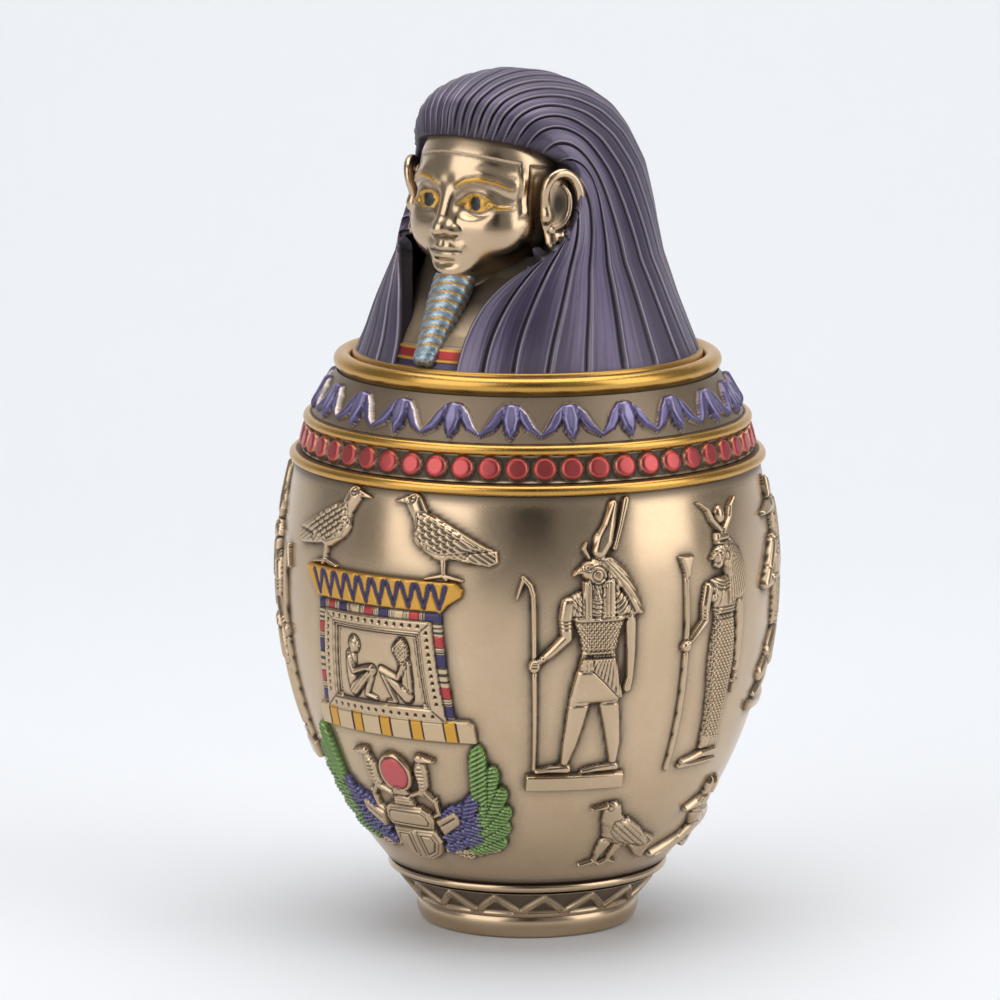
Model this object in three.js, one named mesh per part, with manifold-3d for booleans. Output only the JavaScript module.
// Canopic jar: a hollow footed jar cast in bronze resin, with a loose lid in the form of a wigged head.
// Millimetres, +Z up, origin at the middle of the underside, the face looks along -Y.
import * as THREE from 'three';
import { mergeVertices } from 'three/addons/utils/BufferGeometryUtils.js';
import Module from 'manifold-3d';

const wasm = await Module();
wasm.setup();

// ---- driving dimensions ----
const HEIGHT = 260;            // whole height, lid on
const WALL = 5;                // wall of the jar
const FLOOR = 9;               // thickness of the bottom
const FOOT_R = 33.6;           // plain foot ring
const FOOT_TOP = 7.6;
const COLLAR_Z = 17.5;         // small bead between foot and belly
const COLLAR_R = 42.3;
const BELLY = [[42.4, 19.5], [63.9, 45], [82.5, 86.8], [69.8, 141]]; // belly curve [radius, height]
const BELLY_START = 22.6;      // length along the outline from the base to the belly's lower edge
const BEAD_COUNT = 52;         // pellets round the shoulder
const BEAD_BAND = [144.5, 152.6];
const LOTUS_COUNT = 22;        // hanging lotus flowers
const LOTUS_BAND = [155.7, 168.4];
const CHEVRON_COUNT = 16;      // zigzag round the foot
const RIM_Z = 171.4;           // gilt ring round the mouth
const RIM_R = 55.6;
const RIM_TUBE = 2.7;
const SEAT_Z = 170.5;          // ledge that carries the lid
const MOUTH_R = 46.5;
const LID_R = 52.6;
const LID_TOP = 174.6;         // top of the lid's disc, where the wig begins
const GAP = 0.3;               // clearance between the lid and its seat
const LOCK_COUNT = 16;         // locks of the wig
const SIDES = 30;              // facets round the jar
const HOLLOW_SIDES = 24;       // facets round the hollow
const WIDEST = 15;             // widest flat step of a relief bent round the belly
const SPREAD = 1.2;            // how much wider a limb is below the surface than on it
const WING_FEATHERS = 5;       // raised feathers of one wing

const rad = (deg) => deg * Math.PI / 180;
const mix = (a, b, t) => a + (b - a) * t;

// ---- solids ----
function toSolid(geometry) {
  geometry.deleteAttribute('normal');
  geometry.deleteAttribute('uv');
  const merged = mergeVertices(geometry, 1e-3);
  const points = merged.attributes.position.array;
  const kept = [];
  let volume = 0;
  const corner = (i) => new THREE.Vector3().fromArray(points, 3 * i);
  for (let i = 0; i < merged.index.count; i += 3) {
    const [a, b, c] = [0, 1, 2].map((k) => merged.index.array[i + k]);
    if (a === b || b === c || c === a) continue;
    kept.push(a, b, c);
    volume += corner(a).dot(corner(b).cross(corner(c)));
  }
  if (volume < 0) kept.reverse();
  const mesh = new wasm.Mesh({
    numProp: 3,
    vertProperties: Float32Array.from(points),
    triVerts: Uint32Array.from(kept),
  });
  return new wasm.Manifold(mesh);
}

function join(solids) {
  return solids.reduce((sum, solid) => sum.add(solid));
}

function toMesh(solid, name, material) {
  const { vertProperties, triVerts } = solid.getMesh();
  const geometry = new THREE.BufferGeometry();
  geometry.setAttribute('position', new THREE.BufferAttribute(Float32Array.from(vertProperties), 3));
  geometry.setIndex(new THREE.BufferAttribute(Uint32Array.from(triVerts), 1));
  geometry.computeVertexNormals();
  const mesh = new THREE.Mesh(geometry, material);
  mesh.name = name;
  return mesh;
}

function turned(profile, sides) {
  const points = profile.map(([r, z]) => new THREE.Vector2(r, z));
  return toSolid(new THREE.LatheGeometry(points, sides).rotateX(Math.PI / 2));
}

function loft(rows, columns, at) {
  const positions = [];
  const index = [];
  for (let j = 0; j < rows; j += 1) {
    for (let i = 0; i < columns; i += 1) positions.push(...at(i / columns, j / (rows - 1)));
  }
  for (let j = 0; j < rows - 1; j += 1) {
    for (let i = 0; i < columns; i += 1) {
      const a = j * columns + i;
      const b = j * columns + (i + 1) % columns;
      index.push(a, b, b + columns, a, b + columns, a + columns);
    }
  }
  for (const row of [0, rows - 1]) {
    const ring = [...Array(columns).keys()].map((i) => row * columns + i);
    const middle = positions.length / 3;
    const sum = [0, 1, 2].map((k) => ring.reduce((s, n) => s + positions[3 * n + k], 0) / columns);
    positions.push(...sum);
    ring.forEach((n, i) => {
      const next = ring[(i + 1) % columns];
      if (row === 0) index.push(middle, next, n);
      else index.push(middle, n, next);
    });
  }
  const geometry = new THREE.BufferGeometry();
  geometry.setAttribute('position', new THREE.BufferAttribute(new Float32Array(positions), 3));
  geometry.setIndex(index);
  return toSolid(geometry);
}

// ---- the belly curve and places on it ----
const bellyCurve = new THREE.CubicBezierCurve(...BELLY.map(([r, z]) => new THREE.Vector2(r, z)));
bellyCurve.arcLengthDivisions = 400;
const BELLY_LENGTH = bellyCurve.getLength();

function onBelly(theta, x, s, h) {
  const u = (s - BELLY_START) / BELLY_LENGTH;
  const spot = bellyCurve.getPointAt(THREE.MathUtils.clamp(u, 0, 1));
  const along = bellyCurve.getTangentAt(THREE.MathUtils.clamp(u, 0, 1));
  const turn = rad(theta) + x / spot.x;
  const r = spot.x + h * along.y;
  return [r * Math.sin(turn), -r * Math.cos(turn), spot.y - h * along.x];
}

function onCone(lower, upper) {
  const [r0, z0] = lower;
  const [r1, z1] = upper;
  const length = Math.hypot(r1 - r0, z1 - z0);
  return (theta, x, s, h) => {
    const r = mix(r0, r1, s / length);
    const turn = rad(theta) + x / r;
    const out = r + h * (z1 - z0) / length;
    return [out * Math.sin(turn), -out * Math.cos(turn), mix(z0, z1, s / length) - h * (r1 - r0) / length];
  };
}

// ---- ribbons: pairs of edge points [x, s] along a shape, its height, share of the width left on top ----
const ribbon = (stations, top, taper = 0.9) => ({ stations, top, taper });

function box(x0, x1, s0, s1, top, taper = 0.97) {
  const steps = Math.ceil((x1 - x0) / WIDEST);
  const stations = [...Array(steps + 1).keys()].map((i) => mix(x0, x1, i / steps));
  return ribbon(stations.map((x) => [[x, s0], [x, s1]]), top, taper);
}

// a limb through spots [x, s, half width]
function limb(spots, top) {
  const stations = spots.map(([x, s, w], i) => {
    const before = spots[Math.max(i - 1, 0)];
    const after = spots[Math.min(i + 1, spots.length - 1)];
    const length = Math.hypot(after[0] - before[0], after[1] - before[1]);
    const nx = (after[1] - before[1]) / length * w * SPREAD;
    const ns = (before[0] - after[0]) / length * w * SPREAD;
    return [[x + nx, s + ns], [x - nx, s - ns]];
  });
  return { stations, top, ridged: true };
}

// an upright part of a body through rows [s, left x, right x]
function trunk(rows, top) {
  const stations = rows.map(([s, x0, x1]) => {
    const spare = (x1 - x0) * (SPREAD - 1) / 2;
    return [[x0 - spare, s], [x1 + spare, s]];
  });
  return { stations, top, ridged: true };
}


// a faceted boss: an outline round one high point
const boss = (outline, peak, top) => ({ outline, peak, top });

function oval(x, s, half, width, top, tilt = 0, corners = 6) {
  const outline = [...Array(corners).keys()].map((i) => {
    const a = 2 * Math.PI * i / corners;
    const [u, v] = [half * Math.cos(a), width * Math.sin(a)];
    return [x + u * Math.cos(tilt) - v * Math.sin(tilt), s + u * Math.sin(tilt) + v * Math.cos(tilt)];
  });
  return boss(outline, [x, s], top);
}

function frame(outer, inner, top) {
  const rim = ([half, low, high]) => [[-half, low], [-half, high], [0, high], [half, high], [half, low], [0, low],
    [-half, low]];
  const within = rim(inner);
  return ribbon(rim(outer).map((p, i) => [p, within[i]]), top, 1);
}

function solidOf(positions, faces) {
  const geometry = new THREE.BufferGeometry();
  geometry.setAttribute('position', new THREE.BufferAttribute(new Float32Array(positions.flat()), 3));
  geometry.setIndex(faces);
  return toSolid(geometry);
}

function raiseBoss({ outline, peak, top }, place, theta, mirror, sink) {
  const put = ([x, s], h) => place(theta, mirror * x, s, h);
  const count = outline.length;
  const positions = [...outline.map((p) => put(p, -sink)), put(peak, top), put(peak, -sink)];
  const faces = outline.flatMap((_, i) => {
    const next = (i + 1) % count;
    return [i, next, count, next, i, count + 1];
  });
  return solidOf(positions, faces);
}

function raise(shape, place, theta, mirror, sink = 0.8) {
  if (shape.outline) return raiseBoss(shape, place, theta, mirror, sink);
  const { stations, top, taper } = shape;
  const all = stations.flat();
  const middle = [0, 1].map((k) => all.reduce((sum, p) => sum + p[k], 0) / all.length);
  const positions = stations.flatMap((pair) => pair.flatMap(([x, s]) => [
    place(theta, mirror * x, s, -sink),
    place(theta, mirror * mix(middle[0], x, taper), mix(middle[1], s, taper), top),
  ]));
  const faces = [];
  const quad = (a, b, c, d) => faces.push(a, b, c, a, c, d);
  const last = 4 * (stations.length - 1);
  for (let i = 0; i < last; i += 4) {
    quad(i + 1, i + 3, i + 7, i + 5);
    quad(i, i + 4, i + 6, i + 2);
    quad(i, i + 1, i + 5, i + 4);
    quad(i + 2, i + 6, i + 7, i + 3);
  }
  const closed = stations[0].flat().every((v, k) => v === stations.at(-1).flat()[k]);
  if (!closed) {
    quad(0, 2, 3, 1);
    quad(last, last + 1, last + 3, last + 2);
  }
  return solidOf(positions, faces);
}

// a limb with a rounded back: stations [left, right], a ridge between them
function raiseRidge({ stations, top }, place, theta, mirror, sink = 0.8) {
  const positions = stations.flatMap(([left, right]) => {
    const between = [0, 1].map((k) => (left[k] + right[k]) / 2);
    return [place(theta, mirror * left[0], left[1], -sink), place(theta, mirror * between[0], between[1], top),
      place(theta, mirror * right[0], right[1], -sink)];
  });
  const faces = [];
  const quad = (a, b, c, d) => faces.push(a, b, c, a, c, d);
  const last = 3 * (stations.length - 1);
  for (let i = 0; i < last; i += 3) {
    quad(i, i + 1, i + 4, i + 3);
    quad(i + 1, i + 2, i + 5, i + 4);
    quad(i + 2, i, i + 3, i + 5);
  }
  faces.push(0, 2, 1, last, last + 1, last + 2);
  return solidOf(positions, faces);
}

const pressOn = (shapes, theta, mirror = 1) => shapes.map((shape) => {
  return (shape.ridged ? raiseRidge : raise)(shape, onBelly, theta, mirror);
});
const pressPair = (shapes, theta) => [...pressOn(shapes, theta), ...pressOn(shapes, -theta, -1)];

// ---- the jar's turned body ----
function ringOut(r, z, tube, steps, from = -80, to = 80) {
  return [...Array(steps + 1).keys()].map((i) => {
    const a = rad(mix(from, to, i / steps));
    return [r + tube * Math.cos(a), z + tube * Math.sin(a)];
  });
}

function curvePoints(offset, from, to, steps) {
  return [...Array(steps + 1).keys()].map((i) => {
    const u = mix(from, to, i / steps);
    const spot = bellyCurve.getPointAt(u);
    const along = bellyCurve.getTangentAt(u);
    return [spot.x - offset * along.y, spot.y + offset * along.x];
  });
}

function turnedBody() {
  const outside = [
    [0, 0], [FOOT_R - 1.4, 0], [FOOT_R, 3.4], [FOOT_R - 1.2, FOOT_TOP], [39.4, 16.2],
    ...ringOut(COLLAR_R - 1.3, COLLAR_Z, 1.3, 1, -45, 45), [COLLAR_R - 1.4, 19.3],
    ...curvePoints(0, 0, 1, 7),
    ...ringOut(70.1, 142.9, 1.6, 2, -50, 90), [67.7, 144.6], [65.5, 152.6],
    ...ringOut(65.9, 154.1, 1.6, 2, -50, 90), [61.9, 160.5], [57.4, 168.3],
    ...ringOut(RIM_R, RIM_Z, RIM_TUBE, 3, -50, 115),
    [LID_R + GAP, RIM_Z + 0.4], [LID_R + GAP, SEAT_Z], [0, SEAT_Z],
  ];
  const inside = [
    [0, FLOOR], [26.5, FLOOR],
    ...curvePoints(WALL, 0.05, 0.98, 4),
    [MOUTH_R, 166], [MOUTH_R, SEAT_Z + 1], [0, SEAT_Z + 1],
  ];
  return turned(outside, SIDES).subtract(turned(inside, HOLLOW_SIDES));
}

// ---- pattern bands ----
function pelletBand() {
  const [low, high] = BEAD_BAND;
  const place = onCone([67.7, low], [65.5, high]);
  const middle = Math.hypot(high - low, 2.2) / 2;
  return [...Array(BEAD_COUNT).keys()].map((i) => {
    const theta = (i + 0.5) * 360 / BEAD_COUNT;
    return raise(oval(0, middle, 4, 4, 2, 0, 8), place, theta, 1, 0.7);
  });
}

function lotusBand() {
  const [low, high] = LOTUS_BAND;
  const place = onCone([65.0, low], [57.4, high]);
  const half = [[0, 0.8], [2.2, 5.4], [7.3, 2.2], [4.9, 9.8], [2.4, 13.2]];
  const outline = [...half, ...half.slice(1).reverse().map(([x, s]) => [-x, s])];
  return [...Array(LOTUS_COUNT).keys()].map((i) => {
    return raise(boss(outline, [0, 8.6], 1.5), place, (i + 0.5) * 360 / LOTUS_COUNT, 1, 0.7);
  });
}

function chevronBand() {
  const place = onCone([FOOT_R - 1.2, FOOT_TOP], [39.4, 16.2]);
  const middle = 35.9;
  const stations = [...Array(2 * CHEVRON_COUNT).keys()].map((i) => {
    const low = i % 2 ? 0.2 : 6.8;
    return [[i, low], [i, low + 4]];
  });
  const spot = ([i, s], h) => {
    const [, ahead, z] = place(0, 0, s, h);
    const turn = Math.PI * i / CHEVRON_COUNT;
    return [-ahead * Math.sin(turn), ahead * Math.cos(turn), z];
  };
  const positions = stations.flatMap(([left, right]) => {
    return [spot(left, -0.8), spot([left[0], (left[1] + right[1]) / 2], 1.2), spot(right, -0.8)];
  });
  const faces = stations.flatMap((_, k) => {
    const [i, n] = [3 * k, 3 * ((k + 1) % stations.length)];
    return [0, 1, 2].flatMap((side) => {
      const other = (side + 1) % 3;
      return [i + side, i + other, n + other, i + side, n + other, n + side];
    });
  });
  return solidOf(positions, faces);
}

// ---- relief figures: x across, s up the belly; every figure faces -x ----
function shrine() {
  const sitter = (side) => [
    limb([[side * 10.4, 90, 2.2], [side * 10, 98, 2.4], [side * 9.4, 103, 1.3], [side * 9, 107.4, 2]], 1.5),
    limb([[side * 9.6, 91, 1.8], [side * 3.4, 96.8, 1.3], [side * 4, 88.8, 0.9]], 1.4),
    limb([[side * 9, 100.8, 1], [side * 1.4, 98.8, 0.9]], 1.7),
  ];
  const [outside, ledge, window] = [[23.4, 81, 118.6], [19.6, 84.4, 115.2], [15.2, 86.8, 110.8]];
  return [
    ribbon([-1, -0.5, 0, 0.5, 1].map((t) => [[t * 23.6, 118.2], [t * 28.8, 126.2]]), 2.5, 0.98),
    frame(outside, ledge, 1.5), frame(ledge, window, 2.1), box(-28.5, 28.5, 77.6, 84.5, 2.4), ...sitter(1), ...sitter(-1),
  ];
}

function dove() {
  return [
    limb([[-2.8, 149, 0.3], [-6.4, 149.4, 1.4], [-10, 149, 2.6], [-15, 141, 4.6], [-20, 137.6, 5.6], [-36.4, 132.6, 1.8]], 2.3),
    limb([[-19, 133.4, 1.8], [-20.6, 127.2, 0.9]], 1.5), limb([[-27, 127, 1.1], [-14.6, 127.2, 0.8]], 1.4),
  ];
}

// a wing swept up and out: one edge follows the body's curve, the other steps from feather to feather
function wing(side) {
  const arm = new THREE.CubicBezierCurve(...[[7.5, 38], [9, 52], [26, 50], [28.6, 75]].map((p) => new THREE.Vector2(...p)));
  const outline = [...Array(2 * WING_FEATHERS).keys()].map((i) => {
    const t = i / (2 * WING_FEATHERS - 1);
    const swing = rad(mix(-68, 42, t));
    const reach = (i % 2 ? 1 : 0.93) * mix(24, 28.6, t * t);
    const near = arm.getPoint(t);
    return [[side * near.x, near.y], [side * (9.5 + reach * Math.cos(swing)), 58 + reach * Math.sin(swing)]];
  });
  return [
    ribbon(outline, 1.8, 0.97), limb([[side * 8, 48.6, 3], [side * 16, 50, 2.4]], 2.3),
    limb([[side * 7, 46, 1.1], [side * 11.3, 52, 1.1], [side * 9.4, 60, 1.2], [side * 10, 68, 2.2], [side * 14, 71, 1]], 2.0),
  ];
}

function wingedScarab() {
  return [
    ...wing(-1), ...wing(1), oval(0.4, 64.9, 7.6, 7.8, 2.4, 0, 10),
    limb([[0.4, 57, 3], [0.6, 50, 8], [0.6, 38, 8], [0.6, 31, 2.8]], 2.8),
  ];
}

function foot(heel, toe, ground) {
  return limb([[heel, ground + 2, 2.2], [toe, ground + 0.9, 0.9]], 1.8);
}

function falconGod() {
  return [
    box(-14.3, 13.8, 62.3, 67.5, 2.2), foot(-2, -11.8, 67.3), foot(12.6, 1.3, 67.3),
    limb([[-3.7, 70, 1.4], [-1, 91, 2.7]], 2.0), limb([[10.3, 70, 1.5], [7.6, 91, 2.7]], 2.0),
    trunk([[90.3, -3.7, 10.9], [105.4, -0.2, 9.5], [117, -0.6, 16.6], [122, -4.6, 15.8], [125.4, -0.6, 13.2],
      [129.6, -3.2, 11.8], [133.6, 3, 8.4], [138.6, 1.4, 10.4], [150, 8.6, 13.4]], 2.6),
    limb([[-3, 120.6, 1.9], [-4.7, 111.4, 1.7], [-14.8, 102.4, 1.5]], 2.5),
    limb([[14.4, 116, 1.7], [14, 94, 1.3]], 1.7),
    limb([[-12.6, 68, 0.75], [-14.9, 124, 0.85], [-19, 122.6, 0.6]], 1.5),
  ];
}

function goddess() {
  const horn = (side) => limb([[4 + side, 137, 1.1], [4 + side * 5.6, 140.6, 0.9], [4 + side * 7.8, 145.6, 0.5]], 1.6);
  return [
    foot(9.6, -4.9, 65.6),
    trunk([[69, 2, 10.6], [98, -1.2, 10], [113, 0.1, 8.9], [119, -2.4, 14.2], [122.4, -4.6, 14], [125.6, 0, 13.4],
      [130, -1.8, 13], [134, 0.4, 8.6], [138, 0.8, 6.8]], 2.6),
    limb([[-3.2, 121, 1.7], [-3.9, 111.6, 1.5], [-11.6, 105.6, 1.5]], 2.4),
    limb([[13.4, 118, 1.4], [13.4, 88, 1.2]], 1.6), horn(-1), horn(1), oval(4.1, 141.6, 4, 2.5, 1.9, Math.PI / 2),
    limb([[-9.9, 65.6, 0.65], [-11.2, 126, 0.8], [-11, 132.4, 2.6]], 1.5),
  ];
}

function jackalGod() {
  return [
    trunk([[100.4, -1.6, 12.4], [111, 1.4, 10.8], [120, 0.4, 13.8], [129.4, -4.4, 14.6], [132.4, 0.6, 12.4], [138, 0, 9],
      [141.4, -0.4, 6.4], [148, 1.8, 3.4]], 2.5),
    limb([[-7.4, 140, 0.8], [2, 138.6, 2]], 2.0), limb([[-3.2, 128.6, 1.9], [-9.4, 116.6, 1.7], [-1.4, 117.6, 1.7]], 2.6),
    limb([[13.4, 122, 1.6], [10.6, 105, 1.3]], 1.7),
    limb([[5, 103, 4.6], [-3.8, 90, 2.7], [-4.2, 85.6, 2.2], [13, 84.6, 1.6]], 2.4), limb([[9.6, 103, 3.2], [10.6, 86, 2]], 1.9),
  ];
}

function chick() {
  return [
    limb([[-6.8, 53.8, 0.3], [-1, 53, 3.4], [1.4, 47.6, 4.4], [5, 43.6, 5], [16, 35.8, 3.4]], 2.3),
    limb([[1, 41, 1.9], [-0.8, 31.6, 0.9]], 1.5), limb([[4.4, 40, 1.8], [3.6, 31.6, 0.9]], 1.4),
    limb([[-6, 31.4, 0.9], [6.4, 31.2, 0.9]], 1.3),
  ];
}

function jackal() {
  return [
    limb([[-6.4, 48.8, 0.8], [2, 50.4, 2.8], [6.4, 42, 3.8], [13, 38, 4.4], [26, 36.4, 4.6], [34, 28, 0.9]], 2.3),
    limb([[5.6, 58, 0.4], [4, 51, 1.9]], 1.8), limb([[7, 38.6, 2.6], [-3, 35, 1.6], [-10.4, 32, 1.4]], 2.2),
    box(-12.6, 32, 27, 31.4, 1.5),
  ];
}

function djed() {
  const bars = [0, 1, 2, 3].map((i) => box(-10.5 + i * 0.5, 10.5 - i * 0.5, 112 + i * 7.4, 115.4 + i * 7.4, 2.2));
  return [
    box(-17, 17, 62.3, 67.5, 2.2), trunk([[67, -9.6, 9.6], [78, -6, 6], [142, -4.8, 4.8]], 2.2), ...bars,
  ];
}

// ---- the lid ----
// rows of the wig: height, half width, half depth, how far its middle is ahead of the axis
const WIG = [[LID_TOP - 1, 52.3, 52.3, 0], [181, 48.6, 49.4, 0], [191, 44.4, 46.2, 0.2], [204, 38.9, 41.4, -0.8],
  [218, 35.9, 38.6, -1], [231, 33.6, 36.5, 0.2], [241, 30.8, 33.8, 3], [248, 27.2, 30.5, 5.4], [252.8, 22.4, 25.4, 7.4],
  [256.6, 15.2, 17.6, 8.4], [HEIGHT, 2.6, 3.2, 8.8]];

function wig() {
  const columns = 2 * LOCK_COUNT;
  return loft(WIG.length, columns, (u, v) => {
    const [z, a, b, ahead] = WIG[Math.round(v * (WIG.length - 1))];
    const turn = 2 * Math.PI * u;
    const depth = Math.round(u * columns) % 2 ? 1 - 0.9 / a * Math.min(1, a / 30) : 1;
    return [a * depth * Math.sin(turn), -(b * depth * Math.cos(turn) + ahead), z];
  });
}

function slabAcross(outline, near, far) {
  const shape = new THREE.Shape(outline.map(([x, z]) => new THREE.Vector2(x, z)));
  const geometry = new THREE.ExtrudeGeometry(shape, { depth: far - near, bevelEnabled: false });
  return toSolid(geometry.rotateX(Math.PI / 2).translate(0, -near, 0));
}

// rows of the face: height, half width, how far it is ahead of the axis; calm, evenly divided proportions
const FACE = [[190, 7, 33], [193.6, 9.4, 38.6], [198, 13.4, 40.6], [205, 17.6, 41], [213, 20.4, 40.6], [221, 21.6, 39.6],
  [229, 21.8, 39.2], [237, 20.6, 37.6], [243, 17, 33]];

function face() {
  const head = loft(FACE.length, 10, (u, v) => {
    const [z, w, ahead] = FACE[Math.round(v * (FACE.length - 1))];
    const turn = 2 * Math.PI * u;
    const c = Math.cos(turn);
    const front = c > 0 ? 15 + (ahead - 15) * c ** 0.8 : 15 + 9 * c;
    return [w * Math.sin(turn), -front, z];
  });
  const nose = loft(2, 4, (u, v) => {
    const corner = Math.round(u * 4);
    const wide = mix(4.1, 1.6, v);
    return [[0, -mix(45.4, 40.6, v), mix(212.8, 227.6, v)], [-wide, -38, mix(211.6, 227.6, v)],
      [0, -33, mix(211, 228, v)], [wide, -38, mix(211.6, 227.6, v)]][corner];
  });
  const band = (x, z, rx, rz, ahead, out, corners) => {
    const outline = [...Array(corners).keys()].map((i) => {
      const a = (i + 0.5) / corners * 2 * Math.PI;
      return [x + rx * Math.cos(a), z + rz * Math.sin(a)];
    });
    return slabAcross(outline, ahead, out);
  };
  const lips = [band(0, 205.6, 5.2, 1.1, 36, 42.3, 8), band(0, 203.4, 4.4, 1.2, 36, 42.1, 8)];
  const eyes = [-1, 1].map((side) => band(side * 9, 223, 4.6, 1.8, 30, 37.2, 8));
  return join([head, nose, ...lips, ...eyes]);
}

function ear(side) {
  const shell = slabAcross([...Array(9).keys()].map((i) => {
    const a = i / 9 * 2 * Math.PI;
    return [4.6 * Math.cos(a) + 1.4 * Math.sin(a), 10 * Math.sin(a)];
  }), -2, 2.2);
  return shell.rotate([8, 0, side * -38]).translate([side * 24.6, -21, 219]);
}

function lid() {
  const opening = [[-12, LID_TOP + 0.4], [12, LID_TOP + 0.4], [13.4, 184], [16.4, 196], [23.5, 206], [26, 218], [24.6, 232],
    [20, 240.6], [0, 242.4], [-20, 240.6], [-24.6, 232], [-26, 218], [-23.5, 206], [-16.4, 196], [-13.4, 184]];
  const throat = [[-14, -12, 174], [14, -12, 174], [14, -46.5, 174], [-14, -46.5, 174]];
  const neck = loft(4, 4, (u, v) => {
    const [x, y] = throat[Math.round(u * 4)];
    const [wide, ahead, z] = [[1, 49.6, LID_TOP - 0.6], [1, 48.4, 180.5], [1, 42, 186], [1.1, 30, 199]][Math.round(v * 3)];
    return [x * wide, y < -20 ? -ahead : y, z];
  });
  const beard = loft(4, 6, (u, v) => {
    const turn = 2 * Math.PI * u;
    const [r, ahead, z] = [[2.9, 51.2, 176.4], [3.6, 49.4, 181], [4.9, 45, 188], [6.4, 39.6, 196]][Math.round(v * 3)];
    return [r * Math.sin(turn), -(ahead - 1.6 + 2.2 * Math.cos(turn)), z];
  });
  const disc = turned([[0, SEAT_Z + GAP], [LID_R, SEAT_Z + GAP], [LID_R, LID_TOP], [0, LID_TOP]], SIDES);
  const hair = wig().subtract(slabAcross(opening, 13, 70));
  return join([disc, hair, neck, face(), beard, ear(-1), ear(1)]);
}

// ---- the two pieces ----
function jar() {
  return join([
    turnedBody(), ...pelletBand(), ...lotusBand(), chevronBand(),
    ...pressOn(shrine(), 0), ...pressOn(dove(), 0), ...pressOn(dove(), 2, -1), ...pressOn(wingedScarab(), 0),
    ...pressPair(falconGod(), 50), ...pressPair(goddess(), 85), ...pressPair(jackalGod(), 116),
    ...pressPair(chick(), 62), ...pressPair(jackal(), 98), ...pressOn(djed(), 180),
  ]);
}

const bronze = new THREE.MeshStandardMaterial({ color: 0xa58a6c, metalness: 0.9, roughness: 0.35, flatShading: true });
const hairBronze = new THREE.MeshStandardMaterial({ color: 0x6f6880, metalness: 0.8, roughness: 0.4, flatShading: true });

const root = new THREE.Group();
root.add(toMesh(jar(), 'jar', bronze));
root.add(toMesh(lid(), 'head_lid', hairBronze));

export default root;
